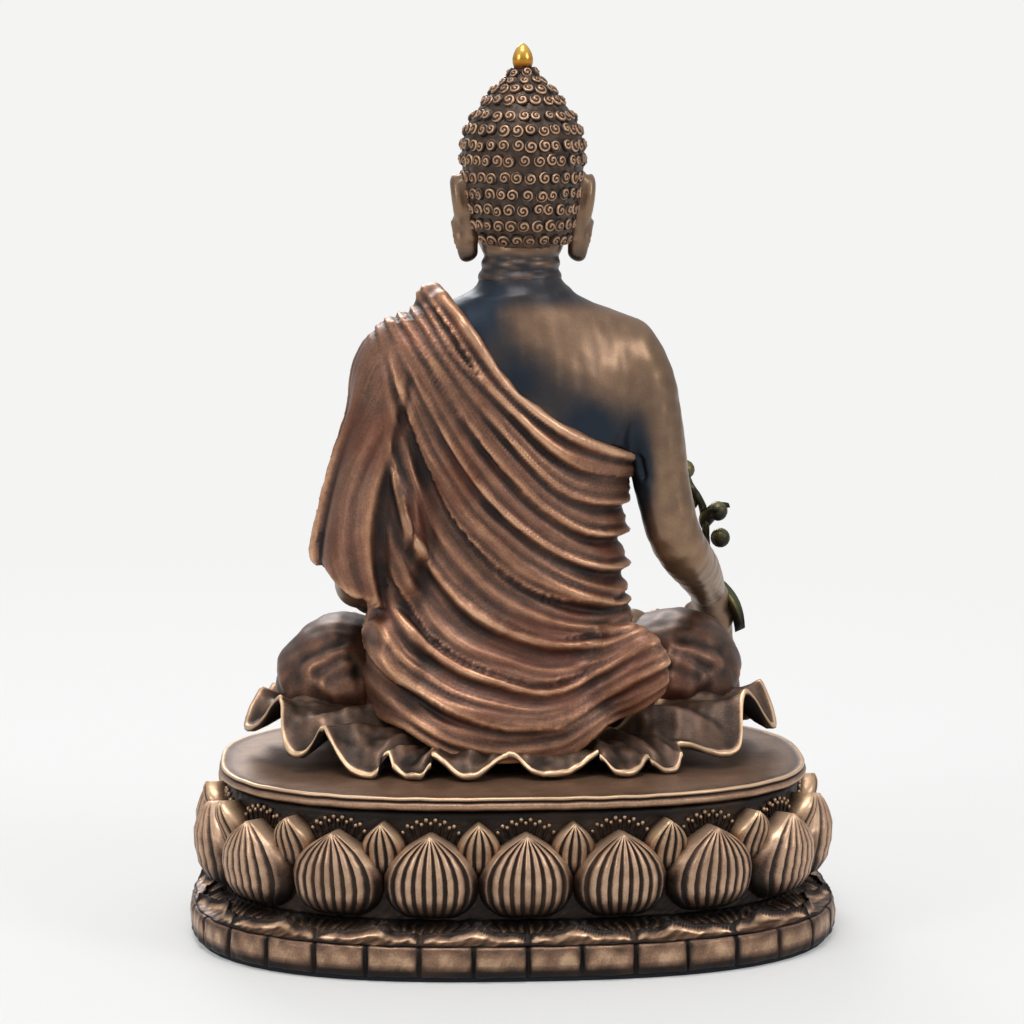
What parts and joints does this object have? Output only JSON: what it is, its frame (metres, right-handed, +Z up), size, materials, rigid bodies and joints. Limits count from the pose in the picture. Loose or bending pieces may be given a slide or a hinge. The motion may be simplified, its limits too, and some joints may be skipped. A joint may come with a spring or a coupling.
{
  "type": "seated buddha statue",
  "caption": "Seated buddha statue in a pleated robe, one shoulder bare, on an oval lotus base with a felt underside; free-standing altar or shelf figure.",
  "frame": {"origin": "middle of the underside, on the felt pad's lower face", "axes": "+Z up; the figure faces -Y, so its back is towards +Y; +X towards the figure's own left arm, the one in the sleeve"},
  "size_m": [0.154, 0.114, 0.21],
  "materials": {
    "felt": "dark wool felt, glued on",
    "board": "pressed board, unpainted, hidden behind the felt",
    "base_resin": "cold-cast bronze resin with a dark brown wash in the recesses",
    "petal_resin": "cold-cast bronze resin, rubbed bright on the ribs",
    "peg_metal": "plain turned steel pegs, hidden",
    "brass_peg": "plain turned brass pegs, hidden",
    "cloth_resin": "cold-cast bronze resin with a dark brown wash",
    "robe_resin": "cold-cast bronze resin, reddish copper tint, satin",
    "border_resin": "cold-cast bronze resin, rubbed bright",
    "skin_resin": "cold-cast bronze resin, satin pale bronze over a blue-black wash",
    "hair_resin": "cold-cast bronze resin, dark, with bright curl crests",
    "jewel_gold": "gold coloured paint over resin, satin",
    "bowl_resin": "cold-cast bronze resin",
    "sprig_resin": "cold-cast bronze resin with a yellow-green tint"
  },
  "bodies": {
    "root": {"felt_pad": "felt", "closing_board": "board", "plinth": "base_resin", "leaf_collar": "base_resin", "lotus_drum": "base_resin", "large_petals": "petal_resin", "small_petals": "petal_resin", "stamen_fans": "base_resin", "seat_deck": "base_resin", "deck_dowels": "peg_metal", "seat_cloth": "cloth_resin", "trunk": "skin_resin", "upper_robe": "robe_resin", "robe_border": "border_resin", "left_sleeve": "robe_resin", "left_leg": "robe_resin", "right_leg": "robe_resin", "left_foot": "skin_resin", "right_foot": "skin_resin", "left_forearm": "skin_resin", "left_hand": "skin_resin", "right_arm": "skin_resin", "right_hand": "skin_resin", "shoulder_dowels": "brass_peg", "neck_dowel": "brass_peg", "head": "skin_resin", "left_ear": "skin_resin", "right_ear": "skin_resin", "hair_cap": "hair_resin", "hair_curls": "hair_resin", "crown_jewel": "jewel_gold", "bowl": "bowl_resin", "bowl_fruit": "sprig_resin", "sprig_stem": "sprig_resin", "sprig_leaves": "sprig_resin", "sprig_fruit": "sprig_resin"}
  },
  "joints": []
}
